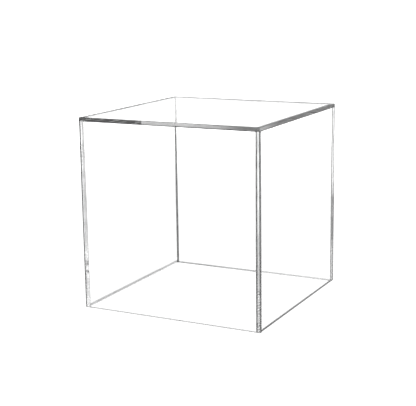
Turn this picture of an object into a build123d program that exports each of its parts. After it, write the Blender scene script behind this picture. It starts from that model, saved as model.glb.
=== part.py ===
from build123d import *
import os

# Clear acrylic display cube: five flat sheets, cemented edge to face, open at the bottom.
# The top panel lies over all four walls. The front and back panels run the full width,
# and the left and right panels stand between them. A thin film of cured cement fills
# every joint.
# Millimetres, +Z up, front towards -Y. The origin is the middle of the open bottom, on the
# plane that the bottom rim stands on.

os.makedirs("parts", exist_ok=True)

# Driving dimensions
CUBE = 127.0  # outside width, depth and height: a nominal 5 in cube
SHEET = 2.5  # thickness of the cast acrylic sheet
BOND = 0.1  # thickness of the cured cement film in a joint
ARRIS = 0.25  # small bevel scraped along every exposed outer edge

# Sizes and places that follow from them
half = CUBE / 2
wall_height = CUBE - SHEET - BOND
wall_centre = half - SHEET / 2  # from the middle of the cube to the middle of a wall
bond_centre = half - SHEET - BOND / 2  # from the middle to the film inside a full-width wall
side_run = CUBE - 2 * (SHEET + BOND)  # front-to-back length of a left or right panel

FRONT_AND_BACK = {"front": -1, "back": 1}
LEFT_AND_RIGHT = {"left": -1, "right": 1}

# Top panel: a full square sheet, with its upper edges and its corners eased
with BuildPart() as top_panel:
    with BuildSketch(Plane.XY.offset(CUBE - SHEET)) as top_outline:
        Rectangle(CUBE, CUBE)
        chamfer(top_outline.vertices(), length=ARRIS)
    extrude(amount=SHEET)
    chamfer(top_panel.edges().group_by(Axis.Z)[-1], length=ARRIS)
top_panel.part.label = "top_panel"
export_step(top_panel.part, "parts/top_panel.step")

# Front and back panels: full width, eased at their outer corners and along the bottom rim,
# square where they meet the other panels
for name, facing in FRONT_AND_BACK.items():
    with BuildPart() as wide_panel:
        with BuildSketch() as wide_outline:
            with Locations((0, facing * wall_centre)):
                Rectangle(CUBE, SHEET)
            outer_corners = wide_outline.vertices().sort_by(Axis.Y, reverse=facing < 0)[-2:]
            chamfer(outer_corners, length=ARRIS)
        extrude(amount=wall_height)
        rim_edges = wide_panel.edges().group_by(Axis.Z)[0]
        exposed_rim_edges = rim_edges.sort_by(Axis.Y, reverse=facing < 0)[1:]
        chamfer(exposed_rim_edges, length=ARRIS)
    wide_panel.part.label = f"{name}_panel"
    export_step(wide_panel.part, f"parts/{name}_panel.step")

# Left and right panels: they stand between the front and back panels
for name, facing in LEFT_AND_RIGHT.items():
    with BuildPart() as side_panel:
        with BuildSketch():
            with Locations((facing * wall_centre, 0)):
                Rectangle(SHEET, side_run)
        extrude(amount=wall_height)
        rim_edges = side_panel.edges().group_by(Axis.Z)[0]
        outer_rim_edge = rim_edges.sort_by(Axis.X, reverse=facing < 0)[-1]
        chamfer(outer_rim_edge, length=ARRIS)
    side_panel.part.label = f"{name}_panel"
    export_step(side_panel.part, f"parts/{name}_panel.step")

# Upright corner seams: the cement film between the end of a side panel and the inner face
# of the front or back panel, flush with the side panel on both sides and at the rim
for depth_name, depth_facing in FRONT_AND_BACK.items():
    for side_name, side_facing in LEFT_AND_RIGHT.items():
        with BuildPart() as corner_seam:
            with BuildSketch():
                with Locations((side_facing * wall_centre, depth_facing * bond_centre)):
                    Rectangle(SHEET, BOND)
            extrude(amount=wall_height)
            rim_edges = corner_seam.edges().group_by(Axis.Z)[0]
            outer_rim_edge = rim_edges.sort_by(Axis.X, reverse=side_facing < 0)[-1]
            chamfer(outer_rim_edge, length=ARRIS)
        corner_seam.part.label = f"{depth_name}_{side_name}_seam"
        export_step(corner_seam.part, f"parts/{depth_name}_{side_name}_seam.step")

# Top seams over the front and back panels: the film between a panel's upper edge and the
# underside of the top panel, with the same eased outer corners
for name, facing in FRONT_AND_BACK.items():
    with BuildPart() as wide_top_seam:
        with BuildSketch(Plane.XY.offset(wall_height)) as film_outline:
            with Locations((0, facing * wall_centre)):
                Rectangle(CUBE, SHEET)
            outer_corners = film_outline.vertices().sort_by(Axis.Y, reverse=facing < 0)[-2:]
            chamfer(outer_corners, length=ARRIS)
        extrude(amount=BOND)
    wide_top_seam.part.label = f"top_{name}_seam"
    export_step(wide_top_seam.part, f"parts/top_{name}_seam.step")

# Top seams over the left and right panels: they close the square between the other two
for name, facing in LEFT_AND_RIGHT.items():
    with BuildPart() as side_top_seam:
        with BuildSketch(Plane.XY.offset(wall_height)):
            with Locations((facing * wall_centre, 0)):
                Rectangle(SHEET, CUBE - 2 * SHEET)
        extrude(amount=BOND)
    side_top_seam.part.label = f"top_{name}_seam"
    export_step(side_top_seam.part, f"parts/top_{name}_seam.step")
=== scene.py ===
import math
import bpy
import numpy as np
from mathutils import Matrix, Vector


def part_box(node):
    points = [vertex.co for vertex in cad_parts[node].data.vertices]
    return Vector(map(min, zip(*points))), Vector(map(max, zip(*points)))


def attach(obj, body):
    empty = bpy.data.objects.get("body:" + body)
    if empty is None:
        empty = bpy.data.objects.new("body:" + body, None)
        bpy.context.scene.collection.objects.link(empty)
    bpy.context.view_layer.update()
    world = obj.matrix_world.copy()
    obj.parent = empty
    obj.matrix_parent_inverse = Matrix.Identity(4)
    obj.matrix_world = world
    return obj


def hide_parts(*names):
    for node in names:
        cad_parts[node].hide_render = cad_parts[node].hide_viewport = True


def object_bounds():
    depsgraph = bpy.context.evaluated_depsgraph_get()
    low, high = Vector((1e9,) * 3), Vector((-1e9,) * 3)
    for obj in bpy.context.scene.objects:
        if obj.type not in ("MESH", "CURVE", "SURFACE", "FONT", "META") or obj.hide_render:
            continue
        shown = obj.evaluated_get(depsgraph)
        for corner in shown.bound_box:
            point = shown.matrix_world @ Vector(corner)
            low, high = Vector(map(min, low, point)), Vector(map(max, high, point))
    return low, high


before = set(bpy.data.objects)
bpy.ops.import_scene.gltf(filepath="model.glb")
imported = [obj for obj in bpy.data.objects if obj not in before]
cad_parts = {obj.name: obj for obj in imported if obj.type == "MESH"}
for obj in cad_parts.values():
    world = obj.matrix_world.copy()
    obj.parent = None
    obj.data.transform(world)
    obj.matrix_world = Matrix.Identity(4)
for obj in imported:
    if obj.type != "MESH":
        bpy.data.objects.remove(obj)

cad_low, cad_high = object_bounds()

# ---------------------------------------------------------------------------------------
# Top panel. A square of clear cast acrylic sheet that covers the upper edges of all four
# walls. It lies face down on the bench while they are stood on it. Its cut edges are planed
# and flame polished, and a scraper has eased its upper arrises and its corners.
# ---------------------------------------------------------------------------------------
# Sizes are in metres.
FACE, CUT_EDGE, ARRIS, GLUED, RIM = range(5)
arris_radius = 0.00040
arris_turns = np.radians(np.linspace(0.0, 45.0, 5))
top_bead = 0.00050
corner_beads = {"front_left_seam": 0.00030, "front_right_seam": 0.00090,
                "back_left_seam": 0.00100, "back_right_seam": 0.00080}
touching = 0.00001
same_line_decimals = 8
nearly_square = 0.9999
# What a zero counts as where something is divided by it.
no_radius = 1e-12
no_area = 1e-20

inside_low = np.array([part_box("left_panel")[1][0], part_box("front_panel")[1][1], cad_low.z])
inside_high = np.array([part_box("right_panel")[0][0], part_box("back_panel")[0][1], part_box("top_panel")[0][2]])
inside_middle = (inside_low + inside_high) / 2

films = [f"{end}_{side}_seam" for end in ("front", "back") for side in ("left", "right")]
films += [f"top_{wall}_seam" for wall in ("front", "back", "left", "right")]


def film_box(film):
    """A cement film's two corners, its thin, wide and long axes, and which way is out."""
    low, high = (np.array(corner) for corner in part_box(film))
    axes = np.argsort(high - low)
    outward = np.sign((low + high) / 2 - inside_middle)
    return low, high, axes, outward


def bead_box(film):
    """The square of the inside corner beside a film that squeezed-out cement fills. It
    reaches one leg in from the covering sheet and one leg in from the film's inner edge.
    Along the inside corner it runs from end to end, except that a bead on a left or right
    wall stops a top bead's leg short at both ends, and an upright bead at its upper end."""
    low, high, (thin, wide, run), outward = film_box(film)
    leg = corner_beads.get(film, top_bead)
    film_edges = {thin: np.where(outward > 0, high, low), wide: np.where(outward > 0, low, high)}
    bead = np.array([inside_low, inside_high])
    for axis, edge in film_edges.items():
        bead[:, axis] = np.sort([edge[axis], edge[axis] - outward[axis] * leg])
    stops_short = {0: (0, 0), 1: (1, -1), 2: (0, -1)}[run]
    bead[:, run] += top_bead * np.array(stops_short)
    return bead


cemented = [np.array(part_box(film)) for film in films] + [bead_box(film) for film in films]


def grid_lines(low, high, radius_low, radius_high, joint_edges):
    """Places across a sheet where its grid has a line: the two ends, the edges of the
    joints that lie between them, and inside each eased end its radius times one minus the
    tangent of evenly spaced turns. Lines that fall together are one."""
    steps = 1 - np.tan(arris_turns)
    between = joint_edges[(joint_edges > low + touching) & (joint_edges < high - touching)]
    lines = np.concatenate([[low, high], between, low + radius_low * steps, high - radius_high * steps])
    return np.unique(np.round(lines, same_line_decimals))


def eased_lattice(low, high, radius_low, radius_high, near):
    """The lattice of points of a box with eased edges. A point near an eased edge is moved
    from the square corner to the round one: its offset from the rounding's axis, in radii,
    is scaled by its largest part over its length. On a side that isn't eased, as in a
    joint, the hair by which its grid line is rounded outwards counts as many radii. So the
    corner there stays square, and the arris runs out to it."""
    joint_edges = np.array(near).reshape(-1, 3)
    lines = [grid_lines(low[axis], high[axis], radius_low[axis], radius_high[axis], joint_edges[:, axis])
             for axis in range(3)]
    points = np.stack(np.meshgrid(*lines, indexing="ij"), -1)
    axis_points = np.clip(points, low + radius_low, high - radius_high)
    offsets = points - axis_points
    in_radii = np.abs(offsets) / np.maximum(np.where(offsets < 0, radius_low, radius_high), no_radius)
    length = np.linalg.norm(in_radii, axis=-1)
    scale = np.where(length > 0, in_radii.max(axis=-1) / np.maximum(length, no_radius), 1.0)
    return axis_points + offsets * scale[..., None]


def skin(lattice):
    """The outer skin of a lattice of points: its points, its four-cornered faces, which all
    face outwards, and the number of each face's side, 0 and 1 for low and high x, and so
    on."""
    index = np.arange(np.prod(lattice.shape[:3])).reshape(lattice.shape[:3])
    faces, sides = [], []
    for axis in range(3):
        for end in (0, 1):
            side = np.take(index, -end, axis=axis)
            if (axis == 1) != (end == 0):
                side = side.T
            quads = np.stack([side[:-1, :-1], side[1:, :-1], side[1:, 1:], side[:-1, 1:]], -1)
            faces.append(quads.reshape(-1, 4))
            sides.append(np.full(quads[..., 0].size, 2 * axis + end))
    used, renumbered = np.unique(np.concatenate(faces), return_inverse=True)
    return lattice.reshape(-1, 3)[used], renumbered.reshape(-1, 4), np.concatenate(sides)


def sheet_finishes(corners, sides, thin_axis, rim_top, near):
    """Which finish each face of a sheet has. Faces square to an axis are the sheet's two
    faces or its cut edge, by their side, and the rest are arris. On a wall, all that lies
    below the top of its lower arris is rim. What lies square on cement is glued."""
    centres = corners.mean(axis=1)
    normals = np.cross(corners[:, 2] - corners[:, 0], corners[:, 3] - corners[:, 1])
    normals /= np.maximum(np.linalg.norm(normals, axis=1), no_area)[:, None]
    square = np.abs(normals).max(axis=1) > nearly_square
    finishes = np.where(sides // 2 == thin_axis, FACE, CUT_EDGE)
    finishes = np.where(square, finishes, ARRIS)
    if thin_axis < 2:
        finishes = np.where(centres[:, 2] < rim_top, RIM, finishes)
    for box in near:
        on_cement = ((centres > box[0] - touching) & (centres < box[1] + touching)).all(axis=1)
        finishes = np.where(on_cement & square, GLUED, finishes)
    return finishes


def lay_edge_map(mesh, corners, sides, thin_axis):
    """Adds the map along_and_across, in metres, for marks that follow an edge. On the edges
    it holds the place along the edge and the place through the sheet's thickness."""
    across = np.array([thin_axis if axis != thin_axis else (axis + 1) % 3 for axis in range(3)])
    along = 3 - np.arange(3) - across
    corner_axis = np.repeat(sides // 2, 4)
    corner_row = np.arange(len(corner_axis))
    flat = corners.reshape(-1, 3)
    places = np.stack([flat[corner_row, along[corner_axis]], flat[corner_row, across[corner_axis]]], -1)
    mesh.uv_layers.new(name="along_and_across").data.foreach_set("uv", places.ravel())


def sheet_mesh(node, thin_axis, eased_low, eased_high):
    """A flat sheet as one closed mesh, the skin of its eased lattice. How far its low and
    its high side along each axis are eased is given as so many arris radii."""
    low, high = (np.array(corner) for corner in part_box(node))
    radius_low, radius_high = arris_radius * np.array([eased_low, eased_high], dtype=float)
    near = [box for box in cemented if (box[0] < high + touching).all() and (box[1] > low - touching).all()]
    points, faces, sides = skin(eased_lattice(low, high, radius_low, radius_high, near))
    corners = points[faces]
    finishes = sheet_finishes(corners, sides, thin_axis, low[2] + radius_low[2], near)
    mesh = bpy.data.meshes.new(node)
    mesh.from_pydata(points.tolist(), [], faces.tolist())
    mesh.polygons.foreach_set("material_index", finishes.astype(np.int32))
    lay_edge_map(mesh, corners, sides, thin_axis)
    mesh.update()
    return mesh


acrylic_index = 1.491
wiping_strokes = [(0.5, 0.3, 0.8), (1.9, 0.9, 0.2)]
bubble_cells = 2200.0
bubble_size = (0.12, 0.5)
# Noise levels between which a mark fades in.
noise_span = (0.35, 0.65)
hairline_span = (0.66, 0.8)
streak_span = (0.4, 0.7)
starved_span = (0.45, 0.7)


def new_material(name):
    """An empty node material, its node tree and its output node."""
    material = bpy.data.materials.new(name)
    material.use_nodes = True
    tree = material.node_tree
    tree.nodes.clear()
    return material, tree, tree.nodes.new("ShaderNodeOutputMaterial")


def add_node(tree, kind, inputs=None, **settings):
    """A node with its settings, and each input either linked to a socket or set."""
    node = tree.nodes.new(kind)
    for key, value in settings.items():
        setattr(node, key, value)
    for key, value in (inputs or {}).items():
        if isinstance(value, bpy.types.NodeSocket):
            tree.links.new(value, node.inputs[key])
        else:
            node.inputs[key].default_value = value
    return node


def stretched_noise(tree, place, scale, turn=(0, 0, 0), detail=3.0):
    """Noise with its own scale along each axis, in cycles a metre, after a turn. Most of it
    lies within noise_span."""
    mapped = add_node(tree, "ShaderNodeMapping", {"Vector": place, "Scale": scale, "Rotation": turn})
    noise = add_node(tree, "ShaderNodeTexNoise",
                     {"Vector": mapped.outputs[0], "Scale": 1.0, "Detail": detail, "Roughness": 0.6})
    return noise.outputs["Fac"]


def spread(tree, value, start, end, low, high):
    """Maps a value between start and end to a value between low and high."""
    node = add_node(tree, "ShaderNodeMapRange", {"Value": value, "From Min": start, "From Max": end,
                                                 "To Min": low, "To Max": high})
    return node.outputs[0]


def grey_between(tree, value, start, end, dark, light):
    """A neutral grey that runs from dark to light as the value runs from start to end."""
    level = spread(tree, value, start, end, dark, light)
    return add_node(tree, "ShaderNodeCombineColor", {"Red": level, "Green": level, "Blue": level}).outputs[0]


def clear_sheet_material():
    """Cast acrylic, flat and polished. Two sets of wiping hairlines, crossing each other,
    leave the gloss a little softer along them."""
    material, tree, output = new_material("clear_cast_acrylic")
    place = add_node(tree, "ShaderNodeTexCoord").outputs["Object"]
    wiped = [stretched_noise(tree, place, scale=(55, 2600, 2600), turn=turn) for turn in wiping_strokes]
    strongest = add_node(tree, "ShaderNodeMath", {0: wiped[0], 1: wiped[1]}, operation="MAXIMUM")
    shader = add_node(tree, "ShaderNodeBsdfPrincipled",
                      {"Base Color": (0.995, 0.997, 0.997, 1), "IOR": acrylic_index,
                       "Transmission Weight": 1.0,
                       "Roughness": spread(tree, strongest.outputs[0], *hairline_span, low=0.0, high=0.03)})
    tree.links.new(shader.outputs[0], output.inputs["Surface"])
    return material


def polished_edge_painted_shade():
    """A sawn edge that has been planed and flame polished: fine streaks run along it. Its grey
    tint is painted shade that draws the edges as dark lines, and the streaks vary it a little.
    """
    material, tree, output = new_material("polished_cut_edge_painted_shade")
    run = add_node(tree, "ShaderNodeUVMap", uv_map="along_and_across").outputs[0]
    streaks = stretched_noise(tree, run, scale=(45, 2400, 1))
    # Painted shade: the grey tint darkens the cut edges into dark lines.
    shader = add_node(tree, "ShaderNodeBsdfGlass",
                      {"Color": grey_between(tree, streaks, *noise_span, dark=0.48, light=0.57),
                       "IOR": acrylic_index,
                       "Roughness": spread(tree, streaks, *streak_span, low=0.06, high=0.02)})
    tree.links.new(shader.outputs[0], output.inputs["Surface"])
    return material


def worked_edge_painted_shade(name, marks_along, marks_across, painted_shade_greys, roughness):
    """An edge that a tool has worked and nobody has polished. Its grey is painted shade, which
    draws the edge as a dark line. The tool's marks, in cycles a metre along and across the edge,
    vary how grey and how rough it is."""
    material, tree, output = new_material(name)
    run = add_node(tree, "ShaderNodeUVMap", uv_map="along_and_across").outputs[0]
    marks = stretched_noise(tree, run, scale=(marks_along, marks_across, 1), detail=2.0)
    shader = add_node(tree, "ShaderNodeBsdfPrincipled",
                      {"Base Color": grey_between(tree, marks, *noise_span, *painted_shade_greys), "IOR": acrylic_index,
                       "Transmission Weight": 1.0,
                       "Roughness": spread(tree, marks, *noise_span, *roughness)})
    tree.links.new(shader.outputs[0], output.inputs["Surface"])
    return material


def glued_face_material():
    """A face that the cement has welded to its neighbour, so that light passes unturned,
    except at the small bubbles and starved spots, where the face still meets air."""
    material, tree, output = new_material("cemented_face")
    place = add_node(tree, "ShaderNodeTexCoord").outputs["Object"]
    cells = add_node(tree, "ShaderNodeTexVoronoi", {"Vector": place, "Scale": bubble_cells})
    patches = stretched_noise(tree, place, scale=(160, 160, 60), detail=1.0)
    size = spread(tree, patches, *starved_span, *bubble_size)
    starved = add_node(tree, "ShaderNodeMath", {0: cells.outputs["Distance"], 1: size}, operation="LESS_THAN")
    welded = add_node(tree, "ShaderNodeBsdfTransparent")
    open_spot = add_node(tree, "ShaderNodeBsdfGlass", {"Roughness": 0.02, "IOR": acrylic_index})
    both = add_node(tree, "ShaderNodeMixShader",
                    {0: starved.outputs[0], 1: welded.outputs[0], 2: open_spot.outputs[0]})
    tree.links.new(both.outputs[0], output.inputs["Surface"])
    return material


# Painted shade: the arrises are tinted nearly black so that they show as dark lines.
scraped_arris_painted_shade = worked_edge_painted_shade("scraped_arris_painted_shade", 850, 3000, painted_shade_greys=(0.02, 0.07), roughness=(0.30, 0.16))
sheet_materials = [clear_sheet_material(), polished_edge_painted_shade(), scraped_arris_painted_shade, glued_face_material()]


def place_piece(mesh, node, kind, materials):
    """Puts a finished mesh into the scene in place of its CAD node."""
    piece = bpy.data.objects.new(f"{node}_{kind}", mesh)
    bpy.context.scene.collection.objects.link(piece)
    for material in materials:
        mesh.materials.append(material)
    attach(piece, "root")
    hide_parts(node)


place_piece(sheet_mesh("top_panel", thin_axis=2, eased_low=(1, 1, 0), eased_high=(1, 1, 0.5)),
            "top_panel", "sheet", sheet_materials)

# ---------------------------------------------------------------------------------------
# Front and back panels. Two sheets of the same acrylic, as wide as the case, which cover the
# ends of the side panels. Their upright edges show at the case's corners, and their lower
# edges are planed and tinted grey, which is painted shade that draws a dark line at the foot.
# Their arrises are eased by hand, some more than others.
# ---------------------------------------------------------------------------------------
# Painted shade: the front and back rims are tinted grey so that the foot shows a dark line.
planed_rim_painted_shade = worked_edge_painted_shade("planed_rim_painted_shade", 2300, 160, painted_shade_greys=(0.15, 0.25), roughness=(0.05, 0.02))
place_piece(sheet_mesh("front_panel", thin_axis=1, eased_low=(2, 1, 1), eased_high=(0.6, 0, 0)),
            "front_panel", "sheet", sheet_materials + [planed_rim_painted_shade])
place_piece(sheet_mesh("back_panel", thin_axis=1, eased_low=(1, 0, 2), eased_high=(1, 1, 0)),
            "back_panel", "sheet", sheet_materials + [planed_rim_painted_shade])

# ---------------------------------------------------------------------------------------
# Left and right panels. Two narrower sheets that stand between the front and the back and
# are cemented to both. Only their lower arrises are free of a joint and are eased. Their lower
# edges are tinted grey as painted shade, light grey on the left and nearly black on the right.
# ---------------------------------------------------------------------------------------
# Painted shade: the left rim is tinted light grey and the right one nearly black.
left_rim_painted_shade = worked_edge_painted_shade("left_rim_painted_shade", 2300, 160, painted_shade_greys=(0.30, 0.45), roughness=(0.05, 0.02))
right_rim_painted_shade = worked_edge_painted_shade("right_rim_painted_shade", 2300, 160, painted_shade_greys=(0.008, 0.03), roughness=(0.05, 0.02))
place_piece(sheet_mesh("left_panel", thin_axis=0, eased_low=(1, 0, 5), eased_high=(1, 0, 0)),
            "left_panel", "sheet", sheet_materials + [left_rim_painted_shade])
place_piece(sheet_mesh("right_panel", thin_axis=0, eased_low=(1, 0, 3), eased_high=(1, 0, 0)),
            "right_panel", "sheet", sheet_materials + [right_rim_painted_shade])

# ---------------------------------------------------------------------------------------
# Cement seams. Solvent cement runs into each joint and sets as a film a tenth of a
# millimetre thick. What is squeezed out sets as a hollow bead in the inside corner, larger
# in some corners than in others. Four seams are upright, and four are under the top panel.
# ---------------------------------------------------------------------------------------
OPEN_CEMENT, WELDED_CEMENT = range(2)
cement_index = 1.48
film_gap = 0.00001
film_grid = 3
bead_turns = np.radians(np.linspace(0.0, 90.0, 7))
bead_stations = 5


def film_shell(film):
    """A film is a flat lattice, a hair thinner than the gap between its two sheets. Its
    thin sides and its inner edge are welded, and its other edges are open to the air."""
    low, high, (thin, wide, _), outward = film_box(film)
    low[thin] += film_gap
    high[thin] -= film_gap
    lines = [np.linspace(low[axis], high[axis], 2 if axis == thin else film_grid) for axis in range(3)]
    points, faces, sides = skin(np.stack(np.meshgrid(*lines, indexing="ij"), -1))
    inner_edge = 2 * wide + (0 if outward[wide] > 0 else 1)
    welded = (sides // 2 == thin) | (sides == inner_edge)
    return points, faces, welded


def bead_shell(film):
    """A bead is a hollow fillet carried along the inside corner. Two legs of its section lie
    on the sheets and are welded, and its face is a quarter circle about the square's far
    corner: a turn t is 1 - cos(t) radii from one sheet and 1 - sin(t) from the other. The
    stations are taken whichever way round leaves the faces pointing outwards. Gives the
    points, the walls, the two end caps, and which walls are welded."""
    _, _, (thin, wide, run), outward = film_box(film)
    low, high = bead_box(film)
    inward = -np.diag(outward)
    radius = high[thin] - low[thin] - film_gap
    corner = np.where(outward > 0, high, low) - outward * film_gap
    off_wide = np.append(0, radius * (1 - np.cos(bead_turns)))
    off_thin = np.append(0, radius * (1 - np.sin(bead_turns)))
    section = corner + off_wide[:, None] * inward[wide] + off_thin[:, None] * inward[thin]
    stations = np.linspace(low[run] + film_gap, high[run] - film_gap, bead_stations)
    if np.cross(inward[thin], inward[wide])[run] < 0:
        stations = stations[::-1]
    rings = np.repeat(section[None], bead_stations, axis=0)
    rings[:, :, run] = stations[:, None]
    count = len(section)
    near = np.arange(count)
    far = np.roll(near, -1)
    base = count * np.arange(bead_stations - 1)[:, None]
    walls = np.stack([base + near, base + far, base + count + far, base + count + near], -1).reshape(-1, 4)
    caps = np.stack([near[::-1], near + count * (bead_stations - 1)])
    welded = np.tile((near == 0) | (near == count - 1), bead_stations - 1)
    return rings.reshape(-1, 3), walls, caps, welded


def seam_mesh(film):
    """A film and its bead as two closed shells in one mesh. The bead's caps are welded."""
    film_points, film_faces, film_welded = film_shell(film)
    bead_points, walls, caps, walls_welded = bead_shell(film)
    first = len(film_points)
    mesh = bpy.data.meshes.new(film)
    mesh.from_pydata(np.concatenate([film_points, bead_points]).tolist(), [],
                     film_faces.tolist() + (walls + first).tolist() + (caps + first).tolist())
    welded = np.concatenate([film_welded, walls_welded, np.full(len(caps), True)])
    mesh.polygons.foreach_set("material_index", np.where(welded, WELDED_CEMENT, OPEN_CEMENT).astype(np.int32))
    mesh.update()
    return mesh


def open_cement_material():
    """Set cement where it meets the air: clear grey and a little rippled."""
    material, tree, output = new_material("set_cement")
    place = add_node(tree, "ShaderNodeTexCoord").outputs["Object"]
    ripples = stretched_noise(tree, place, scale=(700, 700, 260), detail=2.0)
    shader = add_node(tree, "ShaderNodeBsdfGlass",
                      {"Color": grey_between(tree, ripples, *noise_span, dark=0.11, light=0.24),
                       "IOR": cement_index,
                       "Roughness": spread(tree, ripples, *noise_span, low=0.16, high=0.06)})
    tree.links.new(shader.outputs[0], output.inputs["Surface"])
    return material


def welded_cement_material():
    """Cement inside the joint. It passes light unturned, with faint streaks where it ran."""
    material, tree, output = new_material("cement_in_joint")
    place = add_node(tree, "ShaderNodeTexCoord").outputs["Object"]
    streaks = stretched_noise(tree, place, scale=(380, 380, 120), detail=2.0)
    shader = add_node(tree, "ShaderNodeBsdfTransparent",
                      {"Color": grey_between(tree, streaks, *noise_span, dark=0.87, light=0.97)})
    tree.links.new(shader.outputs[0], output.inputs["Surface"])
    return material


seam_materials = [open_cement_material(), welded_cement_material()]
for film in films:
    place_piece(seam_mesh(film), film, "cement", seam_materials)

# ---------------------------------------------------------------------------------------
# Floor and studio. The case stands on a glowing white table before a lit white backdrop. Near
# the case the table glows dimmer, which is painted shade. In what a face mirrors or a sheet
# turns, the table glows grey and in the room's compass pattern, which is painted light. Light that
# has turned inside a sheet comes from the dim room around them instead, so the edges are drawn
# grey. Each list gives compass directions, in degrees, and the room's light there.
# ---------------------------------------------------------------------------------------
table_half = 6.0
table_drop = 0.00002
backdrop_light = 2.4
# near_table_light is painted shade: the table glows dimmer close to the case. mirrored_table is the table's
# painted grey in what a face mirrors.
near_table_light = 1.2
mirrored_room, mirrored_table = 0.7, 1.1
# The distances from the case over which the table brightens and its list gives way to the
# room's, and how steeply up the room's list gives way to the ceiling's.
table_brightens = (0.35, 0.9)
table_gives_way = (0.25, 0.8)
ceiling_slope = (0.14, 0.26)
room_by_compass = [
    (-180, 1.6), (-138, 1.6), (-126, 1.5), (-112, 1.5), (-100, 0.6), (-46, 0.6), (-40, 1.2), (-35, 2.1),
    (-27, 2.1), (-25.5, 0.7), (-23, 0.7), (-20, 1.3), (-8, 1.3), (4, 0.9), (27.5, 0.9), (29.5, 0.6),
    (45, 0.6), (60, 1.5), (72, 1.5), (84, 0.6), (135, 0.6), (150, 1.5), (180, 1.6)]
# The table's painted light, by compass, for light that has turned inside a sheet.
table_by_compass = [
    (-180, 0.40), (-155, 0.9), (-150, 1.8), (-138, 1.8), (-130, 0.3), (-104, 0.3), (-96, 0.4), (-56, 0.4),
    (-52, 1.4), (-48, 1.0), (-43, 1.0), (-39, 1.3), (-35, 1.3), (-33, 0.5), (-28, 0.5), (-25.5, 1.4),
    (-8, 1.4), (0, 0.9), (42, 0.9), (50, 1.2), (82, 1.2), (90, 0.8), (132, 0.8), (140, 1.2), (170, 1.2),
    (180, 0.40)]
ceiling_by_compass = [
    (-180, 0.3), (-158, 0.3), (-156.5, 1.4), (-23.5, 1.4), (-22, 0.3), (-10, 0.3), (0, 1.4), (150, 1.4),
    (160, 0.3), (180, 0.3)]


def plain_grey(level):
    """One grey as a colour."""
    return (level, level, level, 1)


def dim_room(tree, direction, levels):
    """Grey by compass direction: the angle of a direction seen from above, clockwise from
    straight back, looked up on a ramp."""
    parts = add_node(tree, "ShaderNodeSeparateXYZ", {"Vector": direction}).outputs
    angle = add_node(tree, "ShaderNodeMath", {0: parts["X"], 1: parts["Y"]}, operation="ARCTAN2")
    turn = spread(tree, angle.outputs[0], -math.pi, math.pi, 0.0, 1.0)
    ramp = add_node(tree, "ShaderNodeValToRGB", {"Fac": turn})
    stops = ramp.color_ramp.elements
    stops.remove(stops[1])
    for degrees, level in levels:
        stop = stops[0] if degrees == levels[0][0] else stops.new(0.5 + degrees / 360)
        stop.color = plain_grey(level)
    return ramp.outputs["Color"]


def studio_light(tree, straight, mirrored, room):
    """White for a straight look, grey for what a face mirrors, and the room for light that
    has turned inside a sheet."""
    path = add_node(tree, "ShaderNodeLightPath").outputs
    turned, inside = (
        add_node(tree, "ShaderNodeMath", {0: path[depth], 1: 0.5}, operation="GREATER_THAN").outputs[0]
        for depth in ("Glossy Depth", "Transmission Depth"))
    reflected = add_node(tree, "ShaderNodeMixRGB", {"Fac": inside, "Color1": mirrored, "Color2": room})
    return add_node(tree, "ShaderNodeMixRGB", {"Fac": turned, "Color1": straight,
                                               "Color2": reflected.outputs[0]}).outputs[0]


table_mesh = bpy.data.meshes.new("table")
table_corners = [(-table_half, -table_half), (table_half, -table_half), (table_half, table_half),
                 (-table_half, table_half)]
table_mesh.from_pydata([(x, y, cad_low.z - table_drop) for x, y in table_corners], [], [(0, 1, 2, 3)])
table = bpy.data.objects.new("table", table_mesh)
bpy.context.scene.collection.objects.link(table)
# The table's glow: dimmer near the case, which is painted shade, and painted grey and compass light in what the
# sheets mirror and turn.
table_material, tree, output = new_material("white_table_with_painted_light")
place = add_node(tree, "ShaderNodeTexCoord").outputs["Object"]
away = add_node(tree, "ShaderNodeVectorMath", {0: place}, operation="LENGTH").outputs["Value"]
table_light = grey_between(tree, away, *table_brightens, near_table_light, backdrop_light)
table_room = add_node(tree, "ShaderNodeMixRGB",
                      {"Fac": spread(tree, away, *table_gives_way, 0.0, 1.0),
                       "Color1": dim_room(tree, place, table_by_compass),
                       "Color2": dim_room(tree, place, room_by_compass)}).outputs[0]
glow = add_node(tree, "ShaderNodeEmission",
                {"Color": studio_light(tree, table_light, plain_grey(mirrored_table), table_room)})
tree.links.new(glow.outputs[0], output.inputs["Surface"])
table_mesh.materials.append(table_material)

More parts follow.
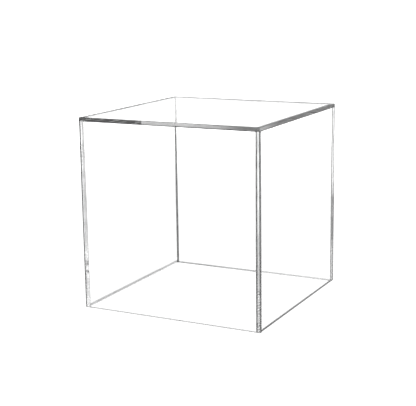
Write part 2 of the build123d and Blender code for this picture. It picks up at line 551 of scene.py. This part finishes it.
world = bpy.data.worlds.new("studio")
bpy.context.scene.world = world
world.use_nodes = True
tree = world.node_tree
tree.nodes.clear()
direction = add_node(tree, "ShaderNodeTexCoord").outputs["Generated"]
upward = add_node(tree, "ShaderNodeSeparateXYZ", {"Vector": direction}).outputs["Z"]
room = add_node(tree, "ShaderNodeMixRGB",
                {"Fac": spread(tree, upward, *ceiling_slope, 0.0, 1.0),
                 "Color1": dim_room(tree, direction, room_by_compass),
                 "Color2": dim_room(tree, direction, ceiling_by_compass)}).outputs[0]
all_round = studio_light(tree, plain_grey(backdrop_light), plain_grey(mirrored_room), room)
backdrop = add_node(tree, "ShaderNodeBackground", {"Color": all_round})
world_output = add_node(tree, "ShaderNodeOutputWorld")
tree.links.new(backdrop.outputs[0], world_output.inputs["Surface"])

# ---------------------------------------------------------------------------------------
# Camera. It stands about 0.7 m from the case's middle, to the right of the front and a
# little above, and looks nearly at that middle through a short telephoto lens.
# ---------------------------------------------------------------------------------------
camera_place = (0.318, -0.626, 0.2155)
camera_yaw, camera_pitch, camera_roll = (math.radians(angle) for angle in (27.2, 12.2, -0.8))
camera_data = bpy.data.cameras.new("camera")
camera_data.sensor_width = 36.0
camera_data.lens = 91.7
camera_data.clip_start = 0.01
camera = bpy.data.objects.new("camera", camera_data)
bpy.context.scene.collection.objects.link(camera)
bpy.context.scene.camera = camera
level = math.cos(camera_pitch)
forward = Vector((-math.sin(camera_yaw) * level, math.cos(camera_yaw) * level, -math.sin(camera_pitch)))
roll = Matrix.Rotation(camera_roll, 3, "Z").to_quaternion()
camera.location = camera_place
camera.rotation_mode = "QUATERNION"
camera.rotation_quaternion = forward.to_track_quat("-Z", "Y") @ roll

# ---------------------------------------------------------------------------------------
# Render. Light in clear sheet turns many times before it leaves, so its paths are long. The
# denoiser works from the light alone, because a sheet's own colour and direction say nothing
# of what shows through it. The plain view transform keeps the ground white.
# ---------------------------------------------------------------------------------------
longest_path = 64
scene = bpy.context.scene
scene.view_settings.view_transform = "Standard"
scene.cycles.denoising_input_passes = "RGB"
scene.cycles.max_bounces = longest_path
scene.cycles.transmission_bounces = longest_path
scene.cycles.glossy_bounces = longest_path
scene.cycles.transparent_max_bounces = longest_path
